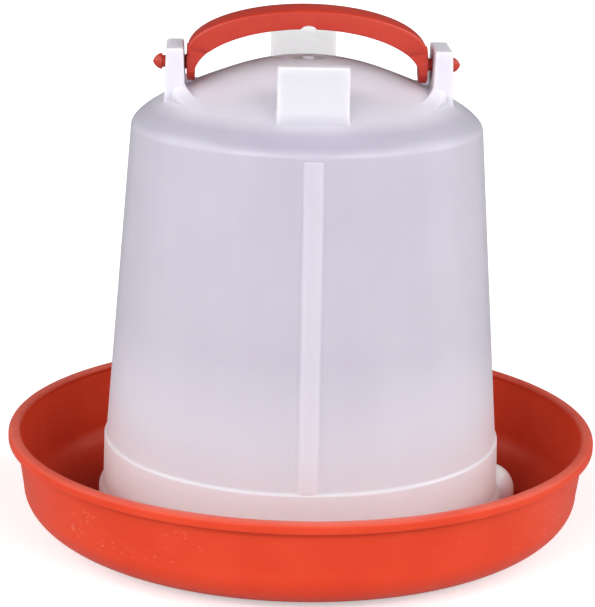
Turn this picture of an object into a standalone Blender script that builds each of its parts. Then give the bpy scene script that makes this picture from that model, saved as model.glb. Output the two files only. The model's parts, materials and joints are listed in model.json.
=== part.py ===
"""Poultry waterer: a bell-shaped water fount on a round drinking tray, with a carry handle.

Metres, +Z up. The origin is on the floor under the middle of the tray. The handle's pivot axis runs
along X, and the front post faces -Y. The fount stands locked on the tray by its bayonet, and the
handle stands upright.
"""
import math

import bmesh
import bpy
from mathutils import Vector

# Resolution
SEGMENTS = 64          # around every large turned surface
PIN_SEGMENTS = 32      # around the handle's ends and their holes
MERGE = 0.00001
CREASE_ANGLE = math.radians(35)

GAP = 0.0004           # between pieces that rest on each other

# Drinking tray: a bowl with a rolled rim, standing on a foot ring
RIM_R = 0.150
RIM_TOP = 0.0512
RIM_BEAD_R = 0.0028    # outer radius of the rolled rim's half-round
RIM_SKIN = 0.0018
LIP_BOTTOM = 0.0461
BOWL_SKIN = 0.0022
BOWL_LOW_R = 0.1425    # outer side of the wall where the bottom corner starts
CORNER_WIDE = 0.031    # the bottom corner is a quarter ellipse
CORNER_HIGH = 0.021
FOOT_HEIGHT = 0.0013
FOOT_OUTER_R = 0.098
FOOT_INNER_R = 0.088
FLOOR_TOP = FOOT_HEIGHT + BOWL_SKIN

# Bayonet between tray and fount
BAYONET_ANGLES = (90, 210, 330)
RING_OUTER_R = 0.0935
RING_SKIN = 0.0020
RING_TOP = 0.0200
TAB_OUTER_R = 0.0985
TAB_BOTTOM = 0.0146
TAB_TOP = 0.0172
TAB_HALF_ANGLE = 14
LUG_INNER_R = 0.0955
LUG_BOTTOM = 0.0106
LUG_TOP = 0.0140
LUG_HALF_ANGLE = 13
SUPPORT_ANGLES = (30, 90, 150, 210, 270, 330)
SUPPORT_WIDTH = 0.0030
SUPPORT_OUTER_R = 0.1055

# Fount: a bell with a spherical dome, open at the mouth
MOUTH = 0.0100
FOUNT_SKIN = 0.0020
APEX = 0.2417
DOME_R = 0.1132        # radius of the dome's sphere
DOME_EDGE_R = 0.0390   # where the sphere gives way to the shoulder
SHOULDER_BEND = (0.0869, 0.2172)
WALL_TOP = (0.0877, 0.2071)
WALL_BOTTOM = (0.1000, 0.0482)
COLLAR = (0.1011, 0.0473)
SKIRT_BOTTOM = (0.1017, 0.0225)
FOOT = (0.1040, 0.0190)
GATE_R = 0.0085
GATE_DEPTH = 0.0008
STRIP_WIDTH = 0.0100
STRIP_PROUD = 0.0008

# Posts and handle lugs on the dome
POST_TOP = 0.2473
POST_BASE = 0.2150     # inside the dome's skin
POST_WIDTH = 0.0340
POST_INNER = 0.0617
POST_OUTER = 0.0702
POST_FLARE = 0.0008
POST_EDGE = 0.0010
POST_SKIN = 0.0016
GUSSET_HALF_ANGLE = 36  # the low ribs that run round the dome from each lug
GUSSET_RISE = 0.0160
GUSSET_INSET = 0.0006

# Hood over the outlet notch, and the tray's stop beside it
HOOD_CENTRE = (0.0991, 0.0, 0.0152)
HOOD_SIZE = (0.0128, 0.0117, 0.0143)
HOOD_SKIN = 0.0018
STOP_LOW = (0.1047, 0.0123, 0.0020)
STOP_HIGH = (0.1165, 0.0148, 0.0105)

# Carry handle: an arched channel between two discs with barbed pins
PIVOT_Z = 0.2384
PIVOT_BORE_R = 0.0034
HANDLE_SHIFT = -0.0007  # its end play is taken up to one side
ARCH_OUTER = (0.0592, 0.0225, 0.2446)   # half width, rise and springing height
ARCH_INNER = (0.0560, 0.0247, 0.2322)
ARCH_STEPS = 28
LEG_STEPS = 3           # sections of each straight leg below the springing height
BAND_SKIN = 0.0020
BAND_CROWN = 0.0012
BAND_HALF_END = 0.0088
BAND_HALF_MIDDLE = 0.0140
DISC_R = 0.0092
DISC_INNER = 0.0554
DISC_OUTER = 0.0595
COLLAR_R = 0.0037
COLLAR_END = 0.0606
PIN_R = 0.0030
BARB_R = 0.0041
BARB_BASE = 0.0715
BARB_TIP = 0.0762
BAND_END_DROP = 0.0040  # the band runs this far below the pivot, into the disc
BLOCK_WIDTH = 0.0084
BLOCK_PROUD = 0.0004
NOTCH_R = 0.0050
NOTCH_RISE = 0.0020

RED = (0.70, 0.055, 0.030, 1.0)
DARK_RED = (0.62, 0.035, 0.020, 1.0)
MILKY = (0.78, 0.75, 0.83, 1.0)


# ---- outlines ----

def arc(centre, radii, start, end, steps):
    """Points on an elliptical arc in the (r, z) plane, from start to end degrees."""
    angles = [math.radians(start + (end - start) * i / steps) for i in range(steps + 1)]
    return [(centre[0] + radii[0] * math.cos(a), centre[1] + radii[1] * math.sin(a)) for a in angles]


def bend(start, middle, end, steps):
    """Points on a quadratic curve from start to end, pulled towards middle."""
    points = []
    for i in range(steps + 1):
        t = i / steps
        points.append(tuple((1 - t) ** 2 * a + 2 * t * (1 - t) * b + t ** 2 * c
                            for a, b, c in zip(start, middle, end)))
    return points


def dome_outline(inset):
    """The dome and shoulder, from the axis to the top of the wall, moved inwards by inset."""
    radius = DOME_R - inset
    centre_z = APEX - DOME_R
    edge = math.degrees(math.acos(DOME_EDGE_R / DOME_R))
    sphere = arc((0.0, centre_z), (radius, radius), 90, edge, 8)
    bend_point = (SHOULDER_BEND[0] - inset, SHOULDER_BEND[1] - inset)
    shoulder = bend(sphere[-1], bend_point, (WALL_TOP[0] - inset, WALL_TOP[1]), 8)
    return sphere + shoulder[1:]


def fount_outline():
    """Outer side of the solid bell, with the gate's dish at its apex."""
    dish = [(0.0, APEX - GATE_DEPTH), (GATE_R - GATE_DEPTH, APEX - GATE_DEPTH)]
    dome = [point for point in dome_outline(0.0) if point[0] > GATE_R]
    wall = [WALL_BOTTOM, COLLAR, SKIRT_BOTTOM, FOOT]
    below = MOUTH - FOUNT_SKIN
    return dish + dome + wall + [(FOOT[0], below), (0.0, below)]


def cavity_outline():
    """The water space: the bell moved inwards by its skin, running out past the mouth."""
    wall = [(r - FOUNT_SKIN, z) for r, z in (WALL_BOTTOM, COLLAR, SKIRT_BOTTOM, FOOT)]
    below = MOUTH - 2 * FOUNT_SKIN
    return dome_outline(FOUNT_SKIN) + wall + [(FOOT[0] - FOUNT_SKIN, below), (0.0, below)]


def tray_outline():
    """Cross-section of the tray, from the middle of its floor over the rim to its underside."""
    bead_centre = (RIM_R - RIM_BEAD_R, RIM_TOP - RIM_BEAD_R)
    bead_inner = RIM_BEAD_R - RIM_SKIN
    corner_centre = (BOWL_LOW_R - CORNER_WIDE, FOOT_HEIGHT + CORNER_HIGH)
    ring_inner = RING_OUTER_R - RING_SKIN
    floor = [(0.0, FLOOR_TOP), (ring_inner, FLOOR_TOP), (ring_inner, RING_TOP),
             (RING_OUTER_R, RING_TOP), (RING_OUTER_R, FLOOR_TOP)]
    inner_radii = (CORNER_WIDE - BOWL_SKIN, CORNER_HIGH - BOWL_SKIN)
    inner_corner = arc(corner_centre, inner_radii, -90, 0, 8)
    rim_top = arc(bead_centre, (RIM_BEAD_R, RIM_BEAD_R), 180, 0, 8)
    lip = [(RIM_R, LIP_BOTTOM), (RIM_R - RIM_SKIN, LIP_BOTTOM)]
    rim_under = arc(bead_centre, (bead_inner, bead_inner), 0, 180, 6)
    outer_corner = arc(corner_centre, (CORNER_WIDE, CORNER_HIGH), 0, -90, 8)
    foot = [(FOOT_OUTER_R, 0.0), (FOOT_INNER_R, 0.0),
            (FOOT_INNER_R - FOOT_HEIGHT, FOOT_HEIGHT), (0.0, FOOT_HEIGHT)]
    return floor + inner_corner + rim_top + lip + rim_under + outer_corner + foot


def handle_end_outline():
    """Barbed tip, pin, collar and disc of one handle end, from its tip inwards along the axis."""
    tip = bend((0.0, BARB_TIP), (BARB_R * 0.85, BARB_TIP - 0.0012), (BARB_R, BARB_BASE), 5)
    return tip + [(PIN_R, BARB_BASE), (PIN_R, COLLAR_END), (COLLAR_R, COLLAR_END),
                  (COLLAR_R, DISC_OUTER), (DISC_R, DISC_OUTER),
                  (DISC_R, DISC_INNER), (0.0, DISC_INNER)]


# ---- modelling helpers ----

def clear_scene():
    for old in list(bpy.data.objects):
        bpy.data.objects.remove(old, do_unlink=True)


def new_collection(name):
    group = bpy.data.collections.new(name)
    bpy.context.scene.collection.children.link(group)
    return group


def new_material(name, colour, roughness):
    material = bpy.data.materials.new(name)
    material.use_nodes = True
    shader = material.node_tree.nodes["Principled BSDF"]
    shader.inputs["Base Color"].default_value = colour
    shader.inputs["Roughness"].default_value = roughness
    shader.inputs["Metallic"].default_value = 0.0
    material.diffuse_color = colour
    return material


def new_object(name, mesh, group):
    thing = bpy.data.objects.new(name, mesh)
    group.objects.link(thing)
    return thing


def tool(thing):
    """Marks an object as a shape that only cuts or joins another."""
    thing.hide_render = True
    thing.display_type = "WIRE"
    return thing


def turned(name, outline, group, segments=SEGMENTS):
    """A body turned about Z from an (r, z) outline that starts and ends on the axis."""
    mesh = bpy.data.meshes.new(name)
    edges = [(i, i + 1) for i in range(len(outline) - 1)]
    mesh.from_pydata([(r, 0.0, z) for r, z in outline], edges, [])
    thing = new_object(name, mesh, group)
    screw = thing.modifiers.new("turn", "SCREW")
    screw.axis = "Z"
    screw.steps = segments
    screw.render_steps = segments
    screw.use_merge_vertices = True
    screw.merge_threshold = MERGE
    return thing


def ellipsoid(name, centre, radii, group):
    work = bmesh.new()
    bmesh.ops.create_uvsphere(work, u_segments=24, v_segments=16, radius=1.0)
    bmesh.ops.scale(work, vec=radii, verts=work.verts)
    bmesh.ops.translate(work, vec=centre, verts=work.verts)
    mesh = bpy.data.meshes.new(name)
    work.to_mesh(mesh)
    work.free()
    return new_object(name, mesh, group)


def rod(name, start, end, radius, group):
    """A round rod between two points."""
    start, end = Vector(start), Vector(end)
    work = bmesh.new()
    bmesh.ops.create_cone(work, cap_ends=True, segments=PIN_SEGMENTS, radius1=radius,
                          radius2=radius, depth=(end - start).length)
    mesh = bpy.data.meshes.new(name)
    work.to_mesh(mesh)
    work.free()
    thing = new_object(name, mesh, group)
    thing.location = (start + end) / 2
    thing.rotation_euler = (end - start).to_track_quat("Z", "Y").to_euler()
    return thing


def box(name, low, high, group):
    """A box between two corners."""
    work = bmesh.new()
    bmesh.ops.create_cube(work, size=1.0)
    size = Vector(high) - Vector(low)
    middle = (Vector(high) + Vector(low)) / 2
    bmesh.ops.scale(work, vec=size, verts=work.verts)
    bmesh.ops.translate(work, vec=middle, verts=work.verts)
    mesh = bpy.data.meshes.new(name)
    work.to_mesh(mesh)
    work.free()
    return new_object(name, mesh, group)


def loft(name, sections, group):
    """A closed body through a row of sections with the same number of corners."""
    work = bmesh.new()
    rings = [[work.verts.new(point) for point in section] for section in sections]
    count = len(rings[0])
    for near, far in zip(rings, rings[1:]):
        for i in range(count):
            j = (i + 1) % count
            work.faces.new((near[i], near[j], far[j], far[i]))
    work.faces.new(list(reversed(rings[0])))
    work.faces.new(rings[-1])
    bmesh.ops.recalc_face_normals(work, faces=work.faces)
    mesh = bpy.data.meshes.new(name)
    work.to_mesh(mesh)
    work.free()
    return new_object(name, mesh, group)


def dome_height(radius):
    """Height of the dome's outer side at a distance from the axis."""
    outline = dome_outline(0.0)
    for (r0, z0), (r1, z1) in zip(outline, outline[1:]):
        if radius <= r1:
            return z0 + (z1 - z0) * (radius - r0) / (r1 - r0)
    return outline[-1][1]


def wall_radius(height):
    """Radius of the bell's outer wall at a height."""
    share = (height - WALL_BOTTOM[1]) / (WALL_TOP[1] - WALL_BOTTOM[1])
    return WALL_BOTTOM[0] + (WALL_TOP[0] - WALL_BOTTOM[0]) * share


def ring_sector(name, radii, heights, middle, half_angle, group, steps=6):
    """A block bent round the axis, between two radii, two heights and two angles."""
    sections = []
    for i in range(steps + 1):
        angle = math.radians(middle - half_angle + 2 * half_angle * i / steps)
        corners = ((radii[0], heights[0]), (radii[1], heights[0]),
                   (radii[1], heights[1]), (radii[0], heights[1]))
        sections.append([(r * math.cos(angle), r * math.sin(angle), z) for r, z in corners])
    return loft(name, sections, group)


def combine(thing, operation, other):
    """Adds a Boolean of another object, which becomes a tool."""
    tool(other)
    step = thing.modifiers.new(other.name, "BOOLEAN")
    step.operation = operation
    step.solver = "EXACT"
    step.object = other


def settle(thing, material):
    """Turns the modifiers into the object's own mesh, and shades it smooth between creases."""
    bpy.context.view_layer.update()
    evaluated = thing.evaluated_get(bpy.context.evaluated_depsgraph_get())
    mesh = bpy.data.meshes.new_from_object(evaluated)
    mesh.name = thing.name
    thing.modifiers.clear()
    thing.data = mesh
    mesh.materials.clear()
    mesh.materials.append(material)
    mesh.shade_smooth()
    mesh.set_sharp_from_angle(angle=CREASE_ANGLE)


# ---- the drinking tray ----

def make_tray(parts, tools):
    tray = turned("drinking_tray", tray_outline(), parts)
    for middle in BAYONET_ANGLES:
        tab = ring_sector(f"tray_tab_{middle}", (RING_OUTER_R - RING_SKIN / 2, TAB_OUTER_R),
                          (TAB_BOTTOM, TAB_TOP), middle, TAB_HALF_ANGLE, tools)
        combine(tray, "UNION", tab)
    for middle in SUPPORT_ANGLES:
        low = (RING_OUTER_R - RING_SKIN / 2, -SUPPORT_WIDTH / 2, FLOOR_TOP - BOWL_SKIN / 2)
        high = (SUPPORT_OUTER_R, SUPPORT_WIDTH / 2, MOUTH - GAP)
        rib = box(f"tray_support_{middle}", low, high, tools)
        rib.rotation_euler.z = math.radians(middle)
        combine(tray, "UNION", rib)
    combine(tray, "UNION", box("tray_stop", STOP_LOW, STOP_HIGH, tools))
    return tray


# ---- the fount ----

def fount_post(name, group):
    """A post on the +X side of the dome, a little thicker at its foot."""
    half = POST_WIDTH / 2
    sections = []
    for z, flare in ((POST_BASE, POST_FLARE), (POST_TOP, 0.0)):
        inner, outer = POST_INNER - flare, POST_OUTER + flare
        sections.append([(inner, -half, z), (outer, -half, z), (outer, half, z), (inner, half, z)])
    return loft(name, sections, group)


def add_posts(fount, tools):
    """Two solid lugs for the handle, at 0 and 180 degrees, and two plain posts between them."""
    for angle in (0, 90, 180, 270):
        post = fount_post(f"fount_post_{angle}", tools)
        post.rotation_euler.z = math.radians(angle)
        edges = post.modifiers.new("edges", "BEVEL")
        edges.width = POST_EDGE
        edges.segments = 2
        combine(fount, "UNION", post)


def lug_gusset(name, middle, group):
    """Low ribs that run down the dome on both sides of a lug, along its circle."""
    inner = POST_INNER + GUSSET_INSET
    outer = POST_OUTER - GUSSET_INSET
    steps = 16
    sections = []
    for i in range(steps + 1):
        share = 2 * i / steps - 1
        rise = GUSSET_RISE * (1 - abs(share)) ** 2 - GAP
        angle = math.radians(middle + GUSSET_HALF_ANGLE * share)
        corners = ((inner, POST_BASE), (outer, POST_BASE),
                   (outer, dome_height(outer) + rise), (inner, dome_height(inner) + rise))
        sections.append([(r * math.cos(angle), r * math.sin(angle), z) for r, z in corners])
    return loft(name, sections, group)


def fount_strip(group):
    """The raised strip down the front of the wall, from the shoulder to the collar."""
    sections = []
    for height in (COLLAR[1] + GAP, WALL_TOP[1] - 3 * GAP):
        front = -wall_radius(height) - STRIP_PROUD
        back = front + FOUNT_SKIN
        half = STRIP_WIDTH / 2
        sections.append([(-half, front, height), (half, front, height),
                         (half, back, height), (-half, back, height)])
    return loft("fount_strip", sections, group)


def make_fount(parts, tools):
    fount = turned("fount", fount_outline(), parts)
    add_posts(fount, tools)
    for middle in (0, 180):
        combine(fount, "UNION", lug_gusset(f"fount_gusset_{middle}", middle, tools))
    combine(fount, "UNION", fount_strip(tools))
    combine(fount, "UNION", ellipsoid("fount_hood", HOOD_CENTRE, HOOD_SIZE, tools))

    combine(fount, "DIFFERENCE", turned("fount_cavity", cavity_outline(), tools))
    hollow_low = (POST_INNER + POST_SKIN, -POST_WIDTH / 2 + POST_SKIN, POST_BASE - FOUNT_SKIN * 4)
    hollow_high = (POST_OUTER - POST_SKIN, POST_WIDTH / 2 - POST_SKIN, POST_TOP - POST_SKIN)
    for angle in (90, 270):
        hollow = box(f"fount_post_hollow_{angle}", hollow_low, hollow_high, tools)
        hollow.rotation_euler.z = math.radians(angle)
        combine(fount, "DIFFERENCE", hollow)
    hood_space = [size - HOOD_SKIN for size in HOOD_SIZE]
    combine(fount, "DIFFERENCE", ellipsoid("fount_hood_space", HOOD_CENTRE, hood_space, tools))
    for side in (1, -1):
        start = (side * (POST_INNER - POST_EDGE * 3), 0.0, PIVOT_Z)
        end = (side * (POST_OUTER + POST_EDGE * 3), 0.0, PIVOT_Z)
        combine(fount, "DIFFERENCE", rod(f"fount_bore_{side}", start, end, PIVOT_BORE_R, tools))
    trim_low = (-RIM_R, -RIM_R, -MOUTH)
    combine(fount, "DIFFERENCE", box("fount_mouth_trim", trim_low, (RIM_R, RIM_R, MOUTH), tools))

    for middle in BAYONET_ANGLES:
        lug = ring_sector(f"fount_lug_{middle}", (LUG_INNER_R, FOOT[0] - FOUNT_SKIN / 2),
                          (LUG_BOTTOM, LUG_TOP), middle, LUG_HALF_ANGLE, tools)
        combine(fount, "UNION", lug)
    return fount


# ---- the carry handle, modelled about its pivot ----

def arch_stations():
    """Points along the arch's outer side with their inward normals and the share of full width."""
    half, rise, spring = ARCH_OUTER
    spring -= PIVOT_Z
    heights = [-BAND_END_DROP + (spring + BAND_END_DROP) * i / LEG_STEPS for i in range(LEG_STEPS)]
    stations = [((half, z), (-1.0, 0.0), 0.0) for z in heights]
    for i in range(ARCH_STEPS + 1):
        angle = math.pi * i / ARCH_STEPS
        point = (half * math.cos(angle), spring + rise * math.sin(angle))
        normal = Vector((-math.cos(angle) / half, -math.sin(angle) / rise)).normalized()
        stations.append((point, tuple(normal), math.sin(angle)))
    stations += [((-half, z), (1.0, 0.0), 0.0) for z in reversed(heights)]
    return stations


def under_arch(x, z):
    """True in the open space under the arch."""
    half, rise, spring = ARCH_INNER
    spring -= PIVOT_Z
    if z < spring:
        return abs(x) < half
    return (x / half) ** 2 + ((z - spring) / rise) ** 2 < 1


def band_depth(point, normal):
    """Depth of the arch along its normal, from its outer to its inner side."""
    near, far = 0.0, POST_WIDTH / 2
    for _ in range(30):
        middle = (near + far) / 2
        if under_arch(point[0] + normal[0] * middle, point[1] + normal[1] * middle):
            far = middle
        else:
            near = middle
    return near


def band_sections():
    """Cross-sections of the arch: a crowned plate with a flange down each side."""
    sections = []
    for point, normal, share in arch_stations():
        half = BAND_HALF_END + (BAND_HALF_MIDDLE - BAND_HALF_END) * share
        crown = BAND_CROWN * share
        depth = band_depth(point, normal)
        ceiling = crown + BAND_SKIN
        inner = half - BAND_SKIN
        shape = [(-half, depth), (-half, crown), (-half / 2, crown / 4), (0.0, 0.0),
                 (half / 2, crown / 4), (half, crown), (half, depth),
                 (inner, depth), (inner, ceiling), (-inner, ceiling), (-inner, depth)]
        sections.append([(point[0] + normal[0] * d, y, point[1] + normal[1] * d)
                         for y, d in shape])
    return sections


def make_handle(parts, tools):
    pivot = bpy.data.objects.new("handle_pivot", None)
    parts.objects.link(pivot)
    pivot.location = (HANDLE_SHIFT, 0.0, PIVOT_Z)
    handle = loft("carry_handle", band_sections(), parts)
    handle.parent = pivot

    for side in (1, -1):
        end = turned(f"handle_end_{side}", handle_end_outline(), tools, PIN_SEGMENTS)
        end.parent = pivot
        end.rotation_euler = (0.0, math.radians(90 * side), 0.0)
        combine(handle, "UNION", end)

    crown_top = ARCH_OUTER[1] + ARCH_OUTER[2] - PIVOT_Z
    crown_bottom = ARCH_INNER[1] + ARCH_INNER[2] - PIVOT_Z
    reach = BAND_HALF_MIDDLE + BLOCK_PROUD
    block = box("handle_block", (-BLOCK_WIDTH / 2, -reach, crown_bottom + GAP),
                (BLOCK_WIDTH / 2, reach, crown_top - BAND_CROWN - GAP), tools)
    block.parent = pivot
    combine(handle, "UNION", block)
    notch_z = crown_bottom + NOTCH_RISE - NOTCH_R
    notch = rod("handle_notch", (0.0, -reach * 2, notch_z), (0.0, reach * 2, notch_z), NOTCH_R, tools)
    notch.parent = pivot
    combine(handle, "DIFFERENCE", notch)
    return handle


def main():
    clear_scene()
    parts = new_collection("poultry_waterer")
    tools = new_collection("poultry_waterer_tools")
    settle(make_tray(parts, tools), new_material("red_plastic", RED, 0.38))
    settle(make_fount(parts, tools), new_material("milky_plastic", MILKY, 0.42))
    settle(make_handle(parts, tools), new_material("handle_plastic", DARK_RED, 0.35))


main()
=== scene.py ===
"""The looks of a poultry waterer: a milky bell-shaped fount on a red drinking tray.

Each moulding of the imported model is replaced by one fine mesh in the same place: the drinking tray,
the fount and the carry handle. Metres, +Z up, in the model's own frame.
"""
import json
import math

import bmesh
import bpy
from mathutils import Matrix, Vector

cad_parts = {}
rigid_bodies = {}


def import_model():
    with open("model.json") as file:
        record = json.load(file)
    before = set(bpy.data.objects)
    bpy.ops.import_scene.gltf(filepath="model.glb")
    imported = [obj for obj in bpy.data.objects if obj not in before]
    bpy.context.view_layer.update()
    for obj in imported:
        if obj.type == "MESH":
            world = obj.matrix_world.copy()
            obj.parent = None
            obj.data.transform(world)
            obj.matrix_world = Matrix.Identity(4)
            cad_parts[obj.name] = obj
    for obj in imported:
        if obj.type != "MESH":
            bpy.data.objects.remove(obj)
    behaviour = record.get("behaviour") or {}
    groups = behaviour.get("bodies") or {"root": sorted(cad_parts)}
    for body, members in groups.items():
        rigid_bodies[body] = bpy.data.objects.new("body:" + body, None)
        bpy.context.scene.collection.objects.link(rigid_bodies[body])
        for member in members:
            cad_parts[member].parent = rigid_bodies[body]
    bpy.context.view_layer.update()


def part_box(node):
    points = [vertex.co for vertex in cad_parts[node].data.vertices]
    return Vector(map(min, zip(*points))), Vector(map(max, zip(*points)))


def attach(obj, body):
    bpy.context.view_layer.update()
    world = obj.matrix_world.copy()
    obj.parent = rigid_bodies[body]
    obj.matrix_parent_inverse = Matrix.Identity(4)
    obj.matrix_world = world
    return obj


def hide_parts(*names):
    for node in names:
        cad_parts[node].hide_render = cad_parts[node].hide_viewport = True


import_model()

# Resolution
TURNS = 256            # around every large turned surface
PIN_TURNS = 96         # around the handle's ends and their holes
RING_SPACING = 0.005   # largest distance between two rings of a turned surface
DOME_STEPS = 32
SHOULDER_STEPS = 64
CORNER_STEPS = 28
BALL_STEPS = (72, 48)  # round and down an ellipsoid
MERGE = 0.000002       # points nearer than this are one
CREASE_ANGLE = math.radians(38)

# Drinking tray
RIM_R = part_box("drinking_tray")[1][0]
RIM_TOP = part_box("drinking_tray")[1][2]
RIM_WIDE = 0.0056      # from the lip's outer side to the wall's inner side
RIM_SKIN = 0.0018
RIM_LEDGE = 0.0005     # the rim stands this far inside the wall below it
RIM_ROUND_INSIDE = 0.0016
RIM_ROUND_OUTSIDE = 0.0024
LIP_BOTTOM = 0.0461
LIP_ROUND = 0.0008     # in the gutter between the lip and the wall
BOWL_SKIN = 0.0022
BOWL_LOW_R = 0.1425
CORNER_WIDE = 0.031    # the bottom corner is a quarter ellipse
CORNER_HIGH = 0.021
FOOT_HEIGHT = 0.0013
FOOT_OUTER_R = 0.098
FOOT_INNER_R = 0.088
FLOOR_TOP = FOOT_HEIGHT + BOWL_SKIN
STOP_LOW = (0.1047, 0.0123, 0.0020)
STOP_HIGH = (0.1165, 0.0148, 0.0105)

# Bayonet between tray and fount
BAYONET_ANGLES = (90, 210, 330)
RING_OUTER_R = 0.0935
RING_SKIN = 0.0020
RING_TOP = 0.0200
TAB_OUTER_R = 0.0985
TAB_HEIGHTS = (0.0146, 0.0172)
TAB_HALF_ANGLE = 14
LUG_INNER_R = 0.0955
LUG_HEIGHTS = (0.0106, 0.0140)
LUG_HALF_ANGLE = 13
SUPPORT_ANGLES = (30, 90, 150, 210, 270, 330)
SUPPORT_WIDTH = 0.0030
SUPPORT_OUTER_R = 0.1055
SMALL_EDGE = 0.0004    # rounding of the small moulded edges

# Fount: outline points are (radius, height)
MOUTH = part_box("fount")[0][2]
FOUNT_SKIN = 0.0020
APEX = 0.2417
DOME_R = 0.1132        # radius of the dome's sphere
DOME_EDGE_R = 0.0390   # where the sphere gives way to the shoulder
SHOULDER_BEND = (0.0869, 0.2172)   # the shoulder is one curve drawn towards this point
WALL_TOP = (0.0877, 0.2071)
WALL_BOTTOM = (0.1000, 0.0482)
WALL_ROUND = 0.0014
COLLAR = (0.1011, 0.0473)
COLLAR_ROUND = 0.0013
SKIRT_BOTTOM = (0.1017, 0.0225)
SKIRT_ROUND = 0.0030
FOOT = (0.1040, 0.0190)
FOOT_ROUND = 0.0012
GATE_R = 0.0085
GATE_DEPTH = 0.0008
NUB_R = 0.0022
NUB_RISE = 0.0011
STRIP_WIDTH = 0.0100
STRIP_PROUD = 0.0008
STRIP_SQUARE = 5       # the higher, the flatter the strip's face and the steeper its sides
HOOD_CENTRE = (0.0991, 0.0, 0.0152)
HOOD_SIZE = (0.0128, 0.0117, 0.0143)
HOOD_SKIN = 0.0018

# Posts and lugs on the dome
POST_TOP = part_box("fount")[1][2]
POST_BASE = 0.2150     # inside the dome's skin
POST_INNER = 0.0617
POST_OUTER = 0.0702
POST_FLARE = 0.0008
POST_HALF_WIDTH = 0.0170
POST_CORNER = 0.0013
POST_EDGE = 0.0010
POST_FILLET = 0.0016
POST_SKIN = 0.0016
GUSSET_HALF_ANGLE = 36 # the low ribs that run round the dome from each lug
GUSSET_RISE = 0.0160
GUSSET_INSET = 0.0006
GUSSET_SQUARE = 4      # the higher, the boxier the rib's back
SUNK = 0.00003         # a fillet ends this far under the surface that it runs out on

# Carry handle
PIVOT_Z = 0.2384
PIVOT_BORE_R = 0.0034
HANDLE_SHIFT = -0.0007 # its end play is taken up to one side
ARCH_OUTER = (0.0592, 0.0225, 0.2446)       # half width, rise and springing height
ARCH_INNER = (0.0560, 0.0247, 0.2322)
ARCH_STEPS = 96
LEG_STEPS = 12         # along each straight leg below the springing height
BAND_SKIN = 0.0020
BAND_CROWN = 0.0012
BAND_HALF_END = 0.0088
BAND_HALF_MIDDLE = 0.0140
BAND_EDGE = 0.0014
DISC_R = 0.0092
DISC_INNER = 0.0554
DISC_OUTER = 0.0595
DISC_ROUND = 0.0007
COLLAR_R = 0.0037      # of the spacer beside the lug
COLLAR_END = 0.0603
PIN_R = 0.0030
PIN_ROUND = 0.0003
PIN_ROOT_ROUND = 0.0002
BARB_R = 0.0041
BARB_BASE = 0.0715
BARB_TIP = 0.0762
BARB_BULGE = (0.85, 0.0012)    # share of the barb's radius, and distance behind its tip
BAND_END_DROP = 0.0040 # the band runs this far below the pivot, into the disc
BLOCK_WIDTH = 0.0084
BLOCK_PROUD = 0.0004
NOTCH_R = 0.0050
NOTCH_RISE = 0.0020

# Red plastics
TRAY_RED = (0.76, 0.068, 0.026, 1.0)
TRAY_RED_DEEP = (0.70, 0.052, 0.019, 1.0)
TRAY_GLOSS = 0.13
HANDLE_RED = (0.60, 0.046, 0.024, 1.0)
HANDLE_RED_DEEP = (0.52, 0.034, 0.017, 1.0)
HANDLE_GLOSS = 0.45
RED_ROUGHNESS = 0.34
RED_IOR = 1.49
# pale scuff marks, and also the rim top's wear and painted highlight
PALE_SCUFF_AND_HIGHLIGHT = (0.90, 0.42, 0.36, 1.0)
SCUFF_BELT = (0.014, 0.022, 0.036, 0.044)   # heights: none, full, full, none
SCUFF_SIDES = (0.040, 0.065)   # distances from the middle: none, full
SCUFF_SHARE = 0.42
WEAR_AND_HIGHLIGHT_DEPTHS = (0.0016, 0.0002) # below the rim's top: none, full, of the wear and painted highlight
WEAR_AND_HIGHLIGHT_SHARE = 0.22
PAINTED_SHADE_RED = (0.22, 0.006, 0.006, 1.0)        # painted shade on the tray's inside, next to the fount
PAINTED_SHADE_SHARE = 0.75

# Milky plastic
MILK = (0.620, 0.595, 0.690, 1.0)
MILK_CLOUD = (0.530, 0.500, 0.600, 1.0)
MILK_FLOW = (0.72, 0.69, 0.79, 1.0)
FLOW_SHARE = 0.30
MILK_SHOULDER_SHADE = (0.20, 0.18, 0.28, 1.0)
SHOULDER_SHADE_SHARE = 0.22
SHOULDER_SHADE_START = (0.0010, 0.0050)           # above the wall's top: none, full, of the painted shade
MILK_DOME_LIGHT = (0.93, 0.91, 0.96, 1.0)
DOME_LIGHT_SHARE = 0.29
DOME_START = (0.2165, 0.2215)  # heights where the shoulder's painted shade gives way to the dome's painted light
MILK_LOW_LIGHT = (0.90, 0.93, 1.0, 1.0)
LOW_LIGHT_SHARE = 0.70
LOW_LIGHT_START = (0.110, 0.030)     # heights where the low wall's painted light sets in
MILK_GRAZING_SHEEN = (0.95, 0.93, 1.0, 1.0)
GRAZING_SHEEN_SHARE = 0.22
MILK_THICK_AND_LIT = (0.93, 0.91, 0.98, 1.0)
THICK_START = (0.0006, 0.0045) # above the dome: none, full
THICK_SIDES = 0.55             # share on the lugs and the front post; the rear post has all, partly painted light on its shade
THICK_AND_LIT_BACK = (0.040, 0.050)    # Y between which the one share turns into the other
THICK_AND_LIT_SKIRT = 0.45
THICK_STRIP = 0.26
MILK_ROUGHNESS = 0.33
GATE_ROUGHNESS = 0.16
MILK_IOR = 1.5
SOAK = 0.003                   # how far light spreads in the fount's skin

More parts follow.
